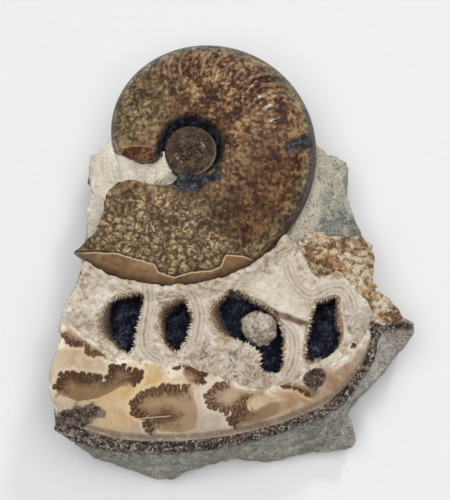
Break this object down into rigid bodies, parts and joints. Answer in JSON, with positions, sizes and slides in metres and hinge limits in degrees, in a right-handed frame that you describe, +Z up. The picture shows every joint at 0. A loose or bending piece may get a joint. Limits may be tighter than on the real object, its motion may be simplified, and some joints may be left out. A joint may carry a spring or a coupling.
{
  "type": "ammonite fossil",
  "caption": "Display specimen of an ammonite: a whole ribbed coil and a broken arc of its outer whorl with open crystal-lined chambers and fern-like sutures, held in calcite and green sandstone",
  "frame": {"origin": "Centre of the bounding box in X and Y, on the flat underside that the specimen lies on", "axes": "+Z up, out of the exposed face; +Y from the broken outer whorl towards the top of the inner coil; +X towards the honey-brown calcite"},
  "size_m": [0.1326, 0.16, 0.0479],
  "materials": {
    "sandstone": "rough green-grey speckled sandstone",
    "cream_calcite": "finely crystalline cream calcite",
    "coil_shell": "glossy mottled brown calcified shell",
    "polished_flank": "smooth polished tan calcite with dark brown suture lines",
    "dark_shell": "dark brown sparkling broken shell",
    "honey_calcite": "rough honey-brown calcite crystals",
    "grey_shell": "dull grey-brown shell",
    "dark_druse": "near-black sparkling fine crystals"
  },
  "bodies": {
    "root": {"sandstone_matrix": "sandstone", "calcite_bed": "cream_calcite", "inner_coil": "coil_shell", "outer_whorl": "polished_flank", "broken_venter": "dark_shell", "honey_calcite": "honey_calcite", "shell_fragment_lower": "grey_shell", "shell_fragment_upper": "grey_shell", "calcite_nodule": "cream_calcite", "chamber_druse_a": "dark_druse", "chamber_druse_b": "dark_druse", "chamber_druse_c": "dark_druse", "chamber_druse_d": "dark_druse"}
  },
  "joints": []
}
